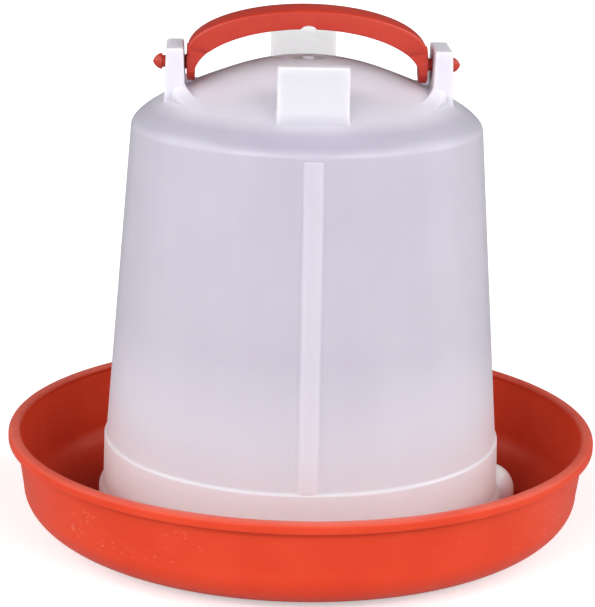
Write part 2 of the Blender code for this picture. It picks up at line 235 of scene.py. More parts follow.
# Camera and light
AIM_HEIGHT = 0.1149
AIM_SIDE = -0.0030     # the camera aims this far to the side of the axis, to its own right
CAMERA_DISTANCE = 1.1714
CAMERA_AZIMUTH = -2.2
CAMERA_ELEVATION = 15.0
CAMERA_ROLL = 1.15
CAMERA_LENS = 136.4
SIDE_SUN_AZIMUTHS = (26, 40, 54)            # three side by side make one wide softbox
SIDE_SUN_ELEVATION = 30
SIDE_SUN_WIDE = 15
SIDE_SUN = 0.34        # W/m2 each
FILL_SUN_AZIMUTH = 95  # a broad fill from each side
FILL_SUN_ELEVATION = 30
FILL_SUN_WIDE = 45
FILL_SUN = 1.00
FRONT_SUN_ELEVATION = 20
FRONT_SUN_WIDE = 60
FRONT_SUN = 0.32       # a broad low fill from the camera's side
TENT_FRONT = 0.50      # radiance of the white tent round the object
TENT_SIDES = 0.80
TENT_BACK_SHARE = 0.2
TENT_TOP_SHARE = 0.3
SIDE_FADE = (0.2, 0.9) # along |X| of the direction, from the front's radiance to the sides'
BACK_FADE = (-0.1, 0.6)                     # along its Y, down to the back's share
TOP_FADE = (0.3, 0.9)  # along its Z, down to the top's share
PAPER = (0.95, 0.95, 0.95, 1.0)
PAPER_CLOUD = (0.93, 0.93, 0.935, 1.0)
PAPER_BOUNCE = (0.72, 0.72, 0.72, 1.0)      # what it throws back in front of the object
PAPER_BOUNCE_BACK = (0.06, 0.06, 0.06, 1.0)
BOUNCE_FADE = (-0.05, 0.30)                 # along Y, from the one to the other
FLOOR_GLOW = 0.45      # lifts the paper to white for the camera
FLOOR_HALF = 6.0


# ---- outlines ----

def arc(centre, radii, start, end, steps):
    """Points on an elliptical arc, from start to end degrees."""
    angles = [math.radians(start + (end - start) * i / steps) for i in range(steps + 1)]
    return [(centre[0] + radii[0] * math.cos(a), centre[1] + radii[1] * math.sin(a)) for a in angles]


def bend(start, middle, end, steps):
    """Points on a quadratic curve from start to end, pulled towards middle."""
    points = []
    for i in range(steps + 1):
        t = i / steps
        points.append(tuple((1 - t) ** 2 * a + 2 * t * (1 - t) * b + t ** 2 * c
                            for a, b, c in zip(start, middle, end)))
    return points


def rounded(corners, steps=5):
    """An outline through corners (a, b, radius), each turned by an arc of its radius."""
    outline = []
    for i, (a, b, radius) in enumerate(corners):
        corner = Vector((a, b))
        if radius == 0:
            outline.append((a, b))
            continue
        back = (Vector(corners[i - 1][:2]) - corner).normalized()
        ahead = (Vector(corners[(i + 1) % len(corners)][:2]) - corner).normalized()
        half = back.angle(ahead) / 2
        centre = corner + (back + ahead).normalized() * (radius / math.sin(half))
        first = corner + back * (radius / math.tan(half)) - centre
        last = corner + ahead * (radius / math.tan(half)) - centre
        start = math.atan2(first.y, first.x)
        turn = math.atan2(last.y, last.x) - start
        turn = (turn + math.pi) % (2 * math.pi) - math.pi
        for k in range(steps + 1):
            angle = start + turn * k / steps
            outline.append((centre.x + radius * math.cos(angle), centre.y + radius * math.sin(angle)))
    return outline


def spaced(outline, spacing=RING_SPACING):
    """The same outline with extra points, so that none is further than spacing from the next."""
    points = [outline[0]]
    for (a0, b0), (a1, b1) in zip(outline, outline[1:]):
        count = max(1, math.ceil(math.dist((a0, b0), (a1, b1)) / spacing))
        points += [(a0 + (a1 - a0) * k / count, b0 + (b1 - b0) * k / count)
                   for k in range(1, count + 1)]
    return points


def dome_outline(inset):
    """The dome and shoulder, from the axis to the top of the wall, moved inwards by inset."""
    radius = DOME_R - inset
    centre_z = APEX - DOME_R
    edge = math.degrees(math.acos(DOME_EDGE_R / DOME_R))
    sphere = arc((0.0, centre_z), (radius, radius), 90, edge, DOME_STEPS)
    bend_point = (SHOULDER_BEND[0] - inset, SHOULDER_BEND[1] - inset)
    shoulder = bend(sphere[-1], bend_point, (WALL_TOP[0] - inset, WALL_TOP[1]), SHOULDER_STEPS)
    return sphere + shoulder[1:]


DOME = dome_outline(0.0)


def dome_height(radius):
    """Height of the dome's outer side at a distance from the axis."""
    for (r0, z0), (r1, z1) in zip(DOME, DOME[1:]):
        if radius <= r1:
            return z0 + (z1 - z0) * (radius - r0) / (r1 - r0)
    return DOME[-1][1]


def wall_radius(height):
    """Radius of the bell's outer wall at a height."""
    share = (height - WALL_BOTTOM[1]) / (WALL_TOP[1] - WALL_BOTTOM[1])
    return WALL_BOTTOM[0] + (WALL_TOP[0] - WALL_BOTTOM[0]) * share


def fount_outline():
    """Outer side of the solid bell, with the gate's dish and its nub at the apex."""
    dish = APEX - GATE_DEPTH
    dome = [(r, z, 0) for r, z in DOME if r > GATE_R + GATE_DEPTH]
    below = MOUTH - FOUNT_SKIN
    corners = [(0.0, dish + NUB_RISE, 0), (NUB_R, dish + NUB_RISE, SMALL_EDGE),
               (NUB_R + NUB_RISE, dish, SMALL_EDGE), (GATE_R - GATE_DEPTH, dish, GATE_DEPTH),
               (GATE_R, dome_height(GATE_R), SMALL_EDGE)] + dome
    corners += [(*WALL_BOTTOM, WALL_ROUND), (*COLLAR, COLLAR_ROUND), (*SKIRT_BOTTOM, SKIRT_ROUND),
                (*FOOT, FOOT_ROUND), (FOOT[0], below, 0), (0.0, below, 0)]
    return spaced(rounded(corners))


def cavity_outline():
    """The water space: the bell moved inwards by its skin, running out past the mouth."""
    wall = [(r - FOUNT_SKIN, z) for r, z in (WALL_BOTTOM, COLLAR, SKIRT_BOTTOM, FOOT)]
    below = MOUTH - 2 * FOUNT_SKIN
    return spaced(dome_outline(FOUNT_SKIN) + wall + [(FOOT[0] - FOUNT_SKIN, below), (0.0, below)])


def tray_outline():
    """Cross-section of the tray, from the middle of its floor over the rim to its underside."""
    ring_inner = RING_OUTER_R - RING_SKIN
    corner_centre = (BOWL_LOW_R - CORNER_WIDE, FOOT_HEIGHT + CORNER_HIGH)
    inner_radii = (CORNER_WIDE - BOWL_SKIN, CORNER_HIGH - BOWL_SKIN)
    inner_corner = arc(corner_centre, inner_radii, -90, 0, CORNER_STEPS)
    outer_corner = arc(corner_centre, (CORNER_WIDE, CORNER_HIGH), 0, -90, CORNER_STEPS)
    rim_inner = RIM_R - RIM_WIDE
    rim_low = RIM_TOP - RIM_WIDE / 2
    under = RIM_TOP - RIM_SKIN
    corners = [(0.0, FLOOR_TOP, 0), (ring_inner, FLOOR_TOP, SMALL_EDGE),
               (ring_inner, RING_TOP, SMALL_EDGE), (RING_OUTER_R, RING_TOP, SMALL_EDGE),
               (RING_OUTER_R, FLOOR_TOP, SMALL_EDGE)]
    corners += [(r, z, 0) for r, z in inner_corner]
    corners += [(rim_inner, rim_low, SMALL_EDGE), (rim_inner - RIM_LEDGE, rim_low + RIM_LEDGE, SMALL_EDGE),
                (rim_inner - RIM_LEDGE, RIM_TOP, RIM_ROUND_INSIDE), (RIM_R, RIM_TOP, RIM_ROUND_OUTSIDE),
                (RIM_R, LIP_BOTTOM, SMALL_EDGE * 1.5), (RIM_R - RIM_SKIN, LIP_BOTTOM, SMALL_EDGE),
                (RIM_R - RIM_SKIN, under, LIP_ROUND),
                (rim_inner + BOWL_SKIN - RIM_LEDGE, under, LIP_ROUND)]
    corners += [(r, z, 0) for r, z in outer_corner]
    corners += [(FOOT_OUTER_R, 0.0, SMALL_EDGE), (FOOT_INNER_R, 0.0, SMALL_EDGE),
                (FOOT_INNER_R - FOOT_HEIGHT, FOOT_HEIGHT, 0), (0.0, FOOT_HEIGHT, 0)]
    return spaced(rounded(corners))


def handle_end_outline():
    """Barbed tip, pin, collar and disc of one handle end, from its tip inwards along the axis."""
    bulge = (BARB_R * BARB_BULGE[0], BARB_TIP - BARB_BULGE[1])
    tip = bend((0.0, BARB_TIP), bulge, (BARB_R, BARB_BASE), 14)
    corners = [(r, z, 0) for r, z in tip[:-1]]
    corners += [(BARB_R, BARB_BASE, PIN_ROUND), (PIN_R, BARB_BASE, PIN_ROOT_ROUND),
                (PIN_R, COLLAR_END, PIN_ROUND), (COLLAR_R, COLLAR_END, PIN_ROUND),
                (COLLAR_R, DISC_OUTER, PIN_ROUND), (DISC_R, DISC_OUTER, DISC_ROUND),
                (DISC_R, DISC_INNER, DISC_ROUND), (0.0, DISC_INNER, 0)]
    return rounded(corners)


# ---- modelling helpers ----

def from_bmesh(name, work, group):
    """A new object in the group, from a finished working mesh."""
    bmesh.ops.recalc_face_normals(work, faces=work.faces)
    mesh = bpy.data.meshes.new(name)
    work.to_mesh(mesh)
    work.free()
    thing = bpy.data.objects.new(name, mesh)
    group.objects.link(thing)
    return thing


def turned(name, outline, group, turns=TURNS):
    """A body turned about Z from an (r, z) outline that starts and ends on the axis."""
    work = bmesh.new()
    start = [work.verts.new((r, 0.0, z)) for r, z in outline]
    edges = [work.edges.new(pair) for pair in zip(start, start[1:])]
    bmesh.ops.spin(work, geom=start + edges, cent=(0, 0, 0), axis=(0, 0, 1),
                   angle=math.tau, steps=turns, use_merge=True)
    bmesh.ops.remove_doubles(work, verts=work.verts, dist=MERGE)
    return from_bmesh(name, work, group)


def loft(name, sections, group):
    """A closed body through a row of sections with the same number of corners."""
    work = bmesh.new()
    rings = [[work.verts.new(point) for point in section] for section in sections]
    count = len(rings[0])
    for near, far in zip(rings, rings[1:]):
        for i in range(count):
            j = (i + 1) % count
            work.faces.new((near[i], near[j], far[j], far[i]))
    work.faces.new(list(reversed(rings[0])))
    work.faces.new(rings[-1])
    return from_bmesh(name, work, group)


def ellipsoid(name, centre, radii, group):
    work = bmesh.new()
    bmesh.ops.create_uvsphere(work, u_segments=BALL_STEPS[0], v_segments=BALL_STEPS[1], radius=1.0)
    bmesh.ops.scale(work, vec=radii, verts=work.verts)
    bmesh.ops.translate(work, vec=centre, verts=work.verts)
    return from_bmesh(name, work, group)


def rod(name, start, end, radius, group):
    """A round rod between two points."""
    start, end = Vector(start), Vector(end)
    work = bmesh.new()
    bmesh.ops.create_cone(work, cap_ends=True, segments=PIN_TURNS, radius1=radius,
                          radius2=radius, depth=(end - start).length)
    thing = from_bmesh(name, work, group)
    turn = (end - start).to_track_quat("Z", "Y").to_matrix().to_4x4()
    thing.data.transform(Matrix.Translation((start + end) / 2) @ turn)
    return thing


def block(name, low, high, group, edge=0.0):
    """A box between two corners, with its edges rounded by edge."""
    work = bmesh.new()
    bmesh.ops.create_cube(work, size=1.0)
    size = Vector(high) - Vector(low)
    bmesh.ops.scale(work, vec=size, verts=work.verts)
    bmesh.ops.translate(work, vec=(Vector(high) + Vector(low)) / 2, verts=work.verts)
    if edge:
        bmesh.ops.bevel(work, geom=list(work.edges), offset=edge, segments=4, profile=0.5,
                        affect="EDGES")
    return from_bmesh(name, work, group)


def turned_to(thing, degrees):
    """Turns an object's mesh about Z."""
    thing.data.transform(Matrix.Rotation(math.radians(degrees), 4, "Z"))
    return thing


def ring_sector(name, radii, heights, middle, half_angle, group, steps=20):
    """A block bent round the axis, between two radii, two heights and two angles."""
    corners = rounded([(radii[0], heights[0], 0), (radii[1], heights[0], SMALL_EDGE),
                       (radii[1], heights[1], SMALL_EDGE), (radii[0], heights[1], 0)], 3)
    sections = []
    for i in range(steps + 1):
        angle = math.radians(middle - half_angle + 2 * half_angle * i / steps)
        sections.append([(r * math.cos(angle), r * math.sin(angle), z) for r, z in corners])
    return loft(name, sections, group)


def combine(thing, operation, group):
    """Booleans of all the tools of a collection, one after another."""
    for tool in group.objects:
        step = thing.modifiers.new(tool.name, "BOOLEAN")
        step.operation = operation
        step.solver = "MANIFOLD"
        step.object = tool
    settle(thing)


def settle(thing):
    """Turns the modifiers into the object's own mesh."""
    bpy.context.view_layer.update()
    evaluated = thing.evaluated_get(bpy.context.evaluated_depsgraph_get())
    mesh = bpy.data.meshes.new_from_object(evaluated)
    mesh.name = thing.name
    thing.modifiers.clear()
    thing.data = mesh


def finish_mesh(thing, material):
    """Shades a piece smooth between its creases and gives it its one material."""
    mesh = thing.data
    mesh.materials.clear()
    mesh.materials.append(material)
    for polygon in mesh.polygons:
        polygon.material_index = 0
    mesh.shade_smooth()
    mesh.set_sharp_from_angle(angle=CREASE_ANGLE)


def tool_group(name):
    """A collection for the tools of one round of Booleans."""
    group = bpy.data.collections.new(name)
    bpy.context.scene.collection.children.link(group)
    return group


def discard(*groups):
    """Removes the tools once they have done their work."""
    for group in groups:
        for thing in list(group.objects):
            mesh = thing.data
            bpy.data.objects.remove(thing, do_unlink=True)
            bpy.data.meshes.remove(mesh)
        bpy.data.collections.remove(group)


# ---- the drinking tray ----

def make_tray(material):
    """The pan with the fount's tabs and support ribs on its ring, and the stop beside them."""
    tray = turned("tray_moulding", tray_outline(), bpy.context.scene.collection)
    adds = tool_group("tray_adds")
    for middle in BAYONET_ANGLES:
        ring_sector("tray_tab", (RING_OUTER_R - RING_SKIN / 2, TAB_OUTER_R), TAB_HEIGHTS,
                    middle, TAB_HALF_ANGLE, adds)
    for middle in SUPPORT_ANGLES:
        low = (RING_OUTER_R - RING_SKIN / 2, -SUPPORT_WIDTH / 2, FLOOR_TOP - BOWL_SKIN / 2)
        high = (SUPPORT_OUTER_R, SUPPORT_WIDTH / 2, MOUTH - SMALL_EDGE)
        turned_to(block("tray_support", low, high, adds, SMALL_EDGE), middle)
    block("tray_stop", STOP_LOW, STOP_HIGH, adds, SMALL_EDGE * 2)
    combine(tray, "UNION", adds)
    discard(adds)
    finish_mesh(tray, material)
    return tray


# ---- the fount ----

def rounded_rectangle(half_depth, half_width, corner, centre):
    """Points round a rectangle with round corners, in the (x, y) plane."""
    corner_steps, long_steps, short_steps = 5, 18, 5
    signs = ((1, -1), (1, 1), (-1, 1), (-1, -1))
    points = []
    for i, (sx, sy) in enumerate(signs):
        start = math.radians(-90 + 90 * i)
        pivot = (centre + sx * (half_depth - corner), sy * (half_width - corner))
        for k in range(corner_steps + 1):
            angle = start + math.radians(90) * k / corner_steps
            points.append((pivot[0] + corner * math.cos(angle), pivot[1] + corner * math.sin(angle)))
        nx, ny = signs[(i + 1) % 4]
        target = (centre + nx * (half_depth - corner), ny * (half_width - corner))
        end_angle = start + math.radians(90)
        reach = (corner * math.cos(end_angle), corner * math.sin(end_angle))
        steps = long_steps if i % 2 == 0 else short_steps
        for k in range(1, steps):
            share = k / steps
            points.append((pivot[0] + (target[0] - pivot[0]) * share + reach[0],
                           pivot[1] + (target[1] - pivot[1]) * share + reach[1]))
    return points


def post(name, angle, group):
    """A plate that stands on the dome, with round edges and a fillet that runs out on the dome."""
    centre = (POST_INNER + POST_OUTER) / 2
    depth = (POST_OUTER - POST_INNER) / 2
    ground = min(dome_height(r) for r in (POST_INNER, POST_OUTER))

    def ring(offset, height_at, spread):
        """One ring, offset outwards; spread is its share of the post's flare towards the dome."""
        half_depth = depth + POST_FLARE * spread + offset
        half_width = POST_HALF_WIDTH + offset
        shape = rounded_rectangle(half_depth, half_width, POST_CORNER + offset, centre)
        return [(x, y, height_at(math.hypot(x, y))) for x, y in shape]

    def share_at(z):
        return (POST_TOP - z) / (POST_TOP - ground)

    edge_steps, side_steps, fillet_steps = 5, 8, 7
    side_top = POST_TOP - POST_EDGE
    sections = []
    for k in range(edge_steps + 1):
        turn = math.radians(90 * k / edge_steps)
        z = POST_TOP - POST_EDGE * (1 - math.cos(turn))
        inset = POST_EDGE * (1 - math.sin(turn))
        sections.append(ring(-inset, lambda r, z=z: z, share_at(z)))
    for k in range(1, side_steps + 1):
        share = k / side_steps
        sections.append(ring(0.0, lambda r, share=share:
                             side_top + (dome_height(r) + POST_FILLET - side_top) * share, share))
    for k in range(1, fillet_steps + 1):
        turn = math.radians(90 * k / fillet_steps)
        out = POST_FILLET * (1 - math.cos(turn))
        rise = POST_FILLET * (1 - math.sin(turn)) - SUNK
        sections.append(ring(out, lambda r, rise=rise: dome_height(r) + rise, 1.0))
    sections.append(ring(POST_FILLET + SUNK * 4, lambda r: dome_height(r) - SUNK * 4, 1.0))
    sections.append(ring(POST_FILLET, lambda r: POST_BASE - FOUNT_SKIN, 1.0))
    return turned_to(loft(name, sections, group), angle)


def lug_gusset(name, middle, group):
    """Low round-backed ribs that run down the dome on both sides of a lug, along its circle."""
    centre = (POST_INNER + POST_OUTER) / 2
    half = (POST_OUTER - POST_INNER) / 2 - GUSSET_INSET
    steps, across = 48, 16
    sections = []
    for i in range(steps + 1):
        share = 2 * i / steps - 1
        rise = GUSSET_RISE * (1 - abs(share)) ** 2
        angle = math.radians(middle + GUSSET_HALF_ANGLE * share)
        section = []
        for k in range(across + 1):
            s = math.sin(math.radians(-90 + 180 * k / across))
            radius = centre + half * s
            back = (1 - abs(s) ** GUSSET_SQUARE) ** (1 / GUSSET_SQUARE)
            section.append((radius, dome_height(radius) - SUNK * 4 + rise * back))
        section += [(centre + half, POST_BASE), (centre - half, POST_BASE)]
        sections.append([(r * math.cos(angle), r * math.sin(angle), z) for r, z in section])
    return loft(name, sections, group)


def fount_strip(group):
    """The raised strip down the front of the wall, from the shoulder to the collar."""
    low, high = COLLAR[1] + SMALL_EDGE, WALL_TOP[1] - SMALL_EDGE * 3
    rows, across = 32, 14
    sections = []
    for i in range(rows + 1):
        height = low + (high - low) * i / rows
        wall = wall_radius(height)
        section = []
        for k in range(across + 1):
            s = 2 * k / across - 1
            proud = STRIP_PROUD * (1 - abs(s) ** STRIP_SQUARE) - SUNK
            angle = math.radians(-90) + STRIP_WIDTH / 2 * s / wall
            section.append(((wall + proud) * math.cos(angle), (wall + proud) * math.sin(angle), height))
        for s in (1, -1):
            angle = math.radians(-90) + STRIP_WIDTH / 2 * s / wall
            inner = wall - FOUNT_SKIN / 2
            section.append((inner * math.cos(angle), inner * math.sin(angle), height))
        sections.append(section)
    return loft("fount_strip", sections, group)


def make_fount(material):
    """The hollow bell with its posts, bored lugs, ribs, strip, hood and bayonet lugs."""
    fount = turned("fount_moulding", fount_outline(), bpy.context.scene.collection)
    adds = tool_group("fount_adds")
    for angle in (0, 90, 180, 270):
        post("fount_post", angle, adds)
    combine(fount, "UNION", adds)
    ribs = tool_group("fount_ribs")
    for middle in (0, 180):
        lug_gusset("fount_gusset", middle, ribs)
    fount_strip(ribs)
    ellipsoid("fount_hood", HOOD_CENTRE, HOOD_SIZE, ribs)
    combine(fount, "UNION", ribs)

    cuts = tool_group("fount_cuts")
    turned("fount_cavity", cavity_outline(), cuts)
    hollow_low = (POST_INNER + POST_SKIN, -POST_HALF_WIDTH + POST_SKIN, POST_BASE - FOUNT_SKIN * 4)
    hollow_high = (POST_OUTER - POST_SKIN, POST_HALF_WIDTH - POST_SKIN, POST_TOP - POST_SKIN)
    for angle in (90, 270):
        turned_to(block("fount_post_hollow", hollow_low, hollow_high, cuts, SMALL_EDGE), angle)
    hood_space = [size - HOOD_SKIN for size in HOOD_SIZE]
    ellipsoid("fount_hood_space", HOOD_CENTRE, hood_space, cuts)
    for side in (1, -1):
        start = (side * (POST_INNER - POST_EDGE * 3), 0.0, PIVOT_Z)
        end = (side * (POST_OUTER + POST_EDGE * 3), 0.0, PIVOT_Z)
        rod("fount_bore", start, end, PIVOT_BORE_R, cuts)
    block("fount_mouth_trim", (-RIM_R, -RIM_R, -MOUTH), (RIM_R, RIM_R, MOUTH), cuts)
    combine(fount, "DIFFERENCE", cuts)

    lugs = tool_group("fount_lugs")
    for middle in BAYONET_ANGLES:
        ring_sector("fount_lug", (LUG_INNER_R, FOOT[0] - FOUNT_SKIN / 2), LUG_HEIGHTS, middle,
                    LUG_HALF_ANGLE, lugs)
    combine(fount, "UNION", lugs)
    discard(adds, ribs, cuts, lugs)
    finish_mesh(fount, material)
    return fount


# ---- the carry handle, modelled about its pivot ----

def arch_stations():
    """Points along the arch's outer side with their inward normals and the share of full width."""
    half, rise, spring = ARCH_OUTER
    spring -= PIVOT_Z
    heights = [-BAND_END_DROP + (spring + BAND_END_DROP) * i / LEG_STEPS for i in range(LEG_STEPS)]
    stations = [((half, z), (-1.0, 0.0), 0.0) for z in heights]
    for i in range(ARCH_STEPS + 1):
        angle = math.pi * i / ARCH_STEPS
        point = (half * math.cos(angle), spring + rise * math.sin(angle))
        normal = Vector((-math.cos(angle) / half, -math.sin(angle) / rise)).normalized()
        stations.append((point, tuple(normal), math.sin(angle)))
    stations += [((-half, z), (1.0, 0.0), 0.0) for z in reversed(heights)]
    return stations


def under_arch(x, z):
    """True in the open space under the arch."""
    half, rise, spring = ARCH_INNER
    spring -= PIVOT_Z
    if z < spring:
        return abs(x) < half
    return (x / half) ** 2 + ((z - spring) / rise) ** 2 < 1


def band_depth(point, normal):
    """Depth of the arch along its normal, from its outer to its inner side."""
    near, far, halvings = 0.0, POST_HALF_WIDTH, 40
    for _ in range(halvings):
        middle = (near + far) / 2
        if under_arch(point[0] + normal[0] * middle, point[1] + normal[1] * middle):
            far = middle
        else:
            near = middle
    return near


def band_sections():
    """Cross-sections of the arch: a crowned plate with a flange down each side."""
    sections = []
    for point, normal, share in arch_stations():
        half = BAND_HALF_END + (BAND_HALF_MIDDLE - BAND_HALF_END) * share
        crown = BAND_CROWN * share
        depth = band_depth(point, normal)
        ceiling = crown + BAND_SKIN
        inner = half - BAND_SKIN
        edge = min(BAND_EDGE, (depth - ceiling) / 3)
        top = [(half * k / 4, crown * (k / 4) ** 2, 0) for k in range(-3, 4)]
        shape = rounded([(-half, depth, edge / 2), (-half, crown, edge)] + top
                        + [(half, crown, edge), (half, depth, edge / 2), (inner, depth, edge / 2),
                           (inner, ceiling, edge), (-inner, ceiling, edge), (-inner, depth, edge / 2)])
        sections.append([(point[0] + normal[0] * d, y, point[1] + normal[1] * d)
                         for y, d in shape])
    return sections


def make_handle(material):
    """The arched channel with the notched block under its crown and its barbed ends, put in place."""
    handle = loft("handle_moulding", band_sections(), bpy.context.scene.collection)
    adds = tool_group("handle_adds")
    for side in (1, -1):
        end = turned("handle_end", handle_end_outline(), adds, PIN_TURNS)
        end.data.transform(Matrix.Rotation(math.radians(90 * side), 4, "Y"))
    crown_top = ARCH_OUTER[1] + ARCH_OUTER[2] - PIVOT_Z
    crown_bottom = ARCH_INNER[1] + ARCH_INNER[2] - PIVOT_Z
    reach = BAND_HALF_MIDDLE + BLOCK_PROUD
    block("handle_block", (-BLOCK_WIDTH / 2, -reach, crown_bottom + SMALL_EDGE),
          (BLOCK_WIDTH / 2, reach, crown_top - BAND_CROWN - SMALL_EDGE), adds, SMALL_EDGE * 2)
    combine(handle, "UNION", adds)
    cuts = tool_group("handle_cuts")
    notch_z = crown_bottom + NOTCH_RISE - NOTCH_R
    rod("handle_notch", (0.0, -reach * 2, notch_z), (0.0, reach * 2, notch_z), NOTCH_R, cuts)
    combine(handle, "DIFFERENCE", cuts)
    discard(adds, cuts)
    handle.data.transform(Matrix.Translation((HANDLE_SHIFT, 0.0, PIVOT_Z)))
    finish_mesh(handle, material)
    return handle


# ---- materials ----

class Nodes:
    """Adds nodes to one material and links them."""

    def __init__(self, name):
        self.material = bpy.data.materials.new(name)
        self.material.use_nodes = True
        self.tree = self.material.node_tree
        self.shader = self.tree.nodes["Principled BSDF"]

    def add(self, kind, inputs=None, **settings):
        node = self.tree.nodes.new(kind)
        for key, value in settings.items():
            setattr(node, key, value)
        for key, value in (inputs or {}).items():
            self.put(node, key, value)
        return node

    def put(self, node, key, value):
        if isinstance(value, bpy.types.NodeSocket):
            self.tree.links.new(value, node.inputs[key])
        else:
            node.inputs[key].default_value = value

    def shade(self, **values):
        for key, value in values.items():
            self.put(self.shader, key.replace("_", " "), value)

    def place(self, scale=(1, 1, 1)):
        """The object's own coordinates, in metres, stretched by scale."""
        coordinates = self.add("ShaderNodeTexCoord").outputs["Object"]
        return self.add("ShaderNodeMapping", {"Vector": coordinates, "Scale": scale}).outputs[0]

    def noise(self, where, scale, detail=3.0, roughness=0.55):
        return self.add("ShaderNodeTexNoise", {"Vector": where, "Scale": scale, "Detail": detail,
                                               "Roughness": roughness}).outputs["Fac"]

    def remap(self, value, low, high, out_low, out_high):
        return self.add("ShaderNodeMapRange", {"Value": value, "From Min": low, "From Max": high,
                                               "To Min": out_low, "To Max": out_high}).outputs[0]

    def math(self, operation, first, second=0.0):
        node = self.add("ShaderNodeMath", {0: first, 1: second}, operation=operation)
        return node.outputs[0]

    def product(self, first, *others):
        for other in others:
            first = self.math("MULTIPLY", first, other)
        return first

    def length(self, x, y, z):
        joined = self.add("ShaderNodeCombineXYZ", {0: x, 1: y, 2: z}).outputs[0]
        return self.add("ShaderNodeVectorMath", {0: joined}, operation="LENGTH").outputs["Value"]

    def mix(self, factor, first, second):
        node = self.add("ShaderNodeMix", data_type="RGBA")
        for index, value in ((0, factor), (6, first), (7, second)):
            self.put(node, index, value)
        return node.outputs[2]

    def bump(self, height, strength, distance, before=None):
        inputs = {"Height": height, "Strength": strength, "Distance": distance}
        if before is not None:
            inputs["Normal"] = before
        return self.add("ShaderNodeBump", inputs).outputs["Normal"]


def tray_wear_and_painted_light(n, where, base):
    """Pale scratches round the tray's belt, a paler rim top that is partly wear and partly painted
    highlight, and painted shade that darkens the plastic next to the fount.
    """
    x, y, height = n.add("ShaderNodeSeparateXYZ", {0: where}).outputs
    around = n.length(x, y, 0.0)
    scratches = n.noise(n.place((300.0, 300.0, 900.0)), 1.0, 3.0)
    patches = n.noise(n.place((1.0, 1.0, 2.5)), 22.0, 2.0)
    low_none, low_full, high_full, high_none = SCUFF_BELT
    marks = n.product(n.remap(scratches, 0.60, 0.68, 0.0, 1.0),
                      n.remap(patches, 0.42, 0.56, 0.0, SCUFF_SHARE),
                      n.remap(height, low_none, low_full, 0.0, 1.0),
                      n.remap(height, high_full, high_none, 1.0, 0.0),
                      n.remap(around, RIM_R - RIM_WIDE - 0.004, RIM_R - RIM_WIDE, 0.0, 1.0),
                      n.remap(n.math("ABSOLUTE", x), *SCUFF_SIDES, 0.0, 1.0))
    # the rim top is paler: partly wear, partly a painted highlight line
    wear_and_highlight_none, wear_and_highlight_full = (RIM_TOP - depth for depth in WEAR_AND_HIGHLIGHT_DEPTHS)
    wear_and_painted_light = n.product(n.remap(height, wear_and_highlight_none, wear_and_highlight_full, 0.0, WEAR_AND_HIGHLIGHT_SHARE),
                     n.remap(patches, 0.3, 0.6, 0.5, 1.0))
    base = n.mix(n.math("MAXIMUM", marks, wear_and_painted_light), base, PALE_SCUFF_AND_HIGHLIGHT)
    # painted shade: the tray's inside gets darker towards the fount's foot
    painted_shade = n.product(n.remap(around, FOOT[0], BOWL_LOW_R - BOWL_SKIN * 2, PAINTED_SHADE_SHARE, 0.0),
                     n.math("LESS_THAN", around, BOWL_LOW_R - BOWL_SKIN / 2),
                     n.math("GREATER_THAN", height, FOOT_HEIGHT + BOWL_SKIN / 2))
    return n.mix(painted_shade, base, PAINTED_SHADE_RED)


def red_plastic(name, colour, deep, gloss, wear_and_painted_light):
    """Satin moulded plastic: faint flow clouding, a fine grain and, where asked, pale scuffs, a rim top
    paler from wear and painted highlight, and painted shade next to the fount.
    """
    n = Nodes(name)
    where = n.place()
    base = n.mix(n.remap(n.noise(where, 28.0), 0.3, 0.7, 0.0, 1.0), colour, deep)
    if wear_and_painted_light:
        base = tray_wear_and_painted_light(n, where, base)
    normal = n.bump(n.noise(where, 90.0, 2.0), 0.10, 0.0006)
    normal = n.bump(n.noise(where, 1800.0, 2.0), 0.12, 0.00008, normal)
    n.shade(Base_Color=base, Roughness=RED_ROUGHNESS, IOR=RED_IOR, Specular_IOR_Level=gloss,
            Normal=normal)
    return n.material


def milky_tones(n, where, z):
    """Colour of the thin skin: clouded, with painted shade on the shoulder, painted light on the dome and
    low down, and a painted sheen at grazing angles.
    """
    base = n.mix(n.noise(where, 18.0, 2.0), MILK, MILK_CLOUD)
    flow = n.noise(n.place((70.0, 70.0, 6.0)), 1.0, 2.0)
    base = n.mix(n.math("MULTIPLY", flow, FLOW_SHARE), base, MILK_FLOW)
    # painted shade: a darker band round the shoulder
    shoulder_none, shoulder_full = (WALL_TOP[1] + rise for rise in SHOULDER_SHADE_START)
    shoulder = n.product(n.remap(z, shoulder_none, shoulder_full, 0.0, 1.0),
                         n.remap(z, *DOME_START, 1.0, 0.0), SHOULDER_SHADE_SHARE)
    base = n.mix(shoulder, base, MILK_SHOULDER_SHADE)
    # painted light: the dome is paler
    base = n.mix(n.remap(z, *DOME_START, 0.0, DOME_LIGHT_SHARE), base, MILK_DOME_LIGHT)
    # painted light: the low wall is paler and bluer, lifting it out of the tray's shade and its red bounce
    base = n.mix(n.remap(z, *LOW_LIGHT_START, 0.0, LOW_LIGHT_SHARE), base, MILK_LOW_LIGHT)
    # painted sheen: paler towards the silhouette, at grazing angles
    grazing = n.add("ShaderNodeLayerWeight", {"Blend": 0.35}).outputs["Facing"]
    return n.mix(n.remap(grazing, 0.15, 0.75, 0.0, GRAZING_SHEEN_SHARE), base, MILK_GRAZING_SHEEN)


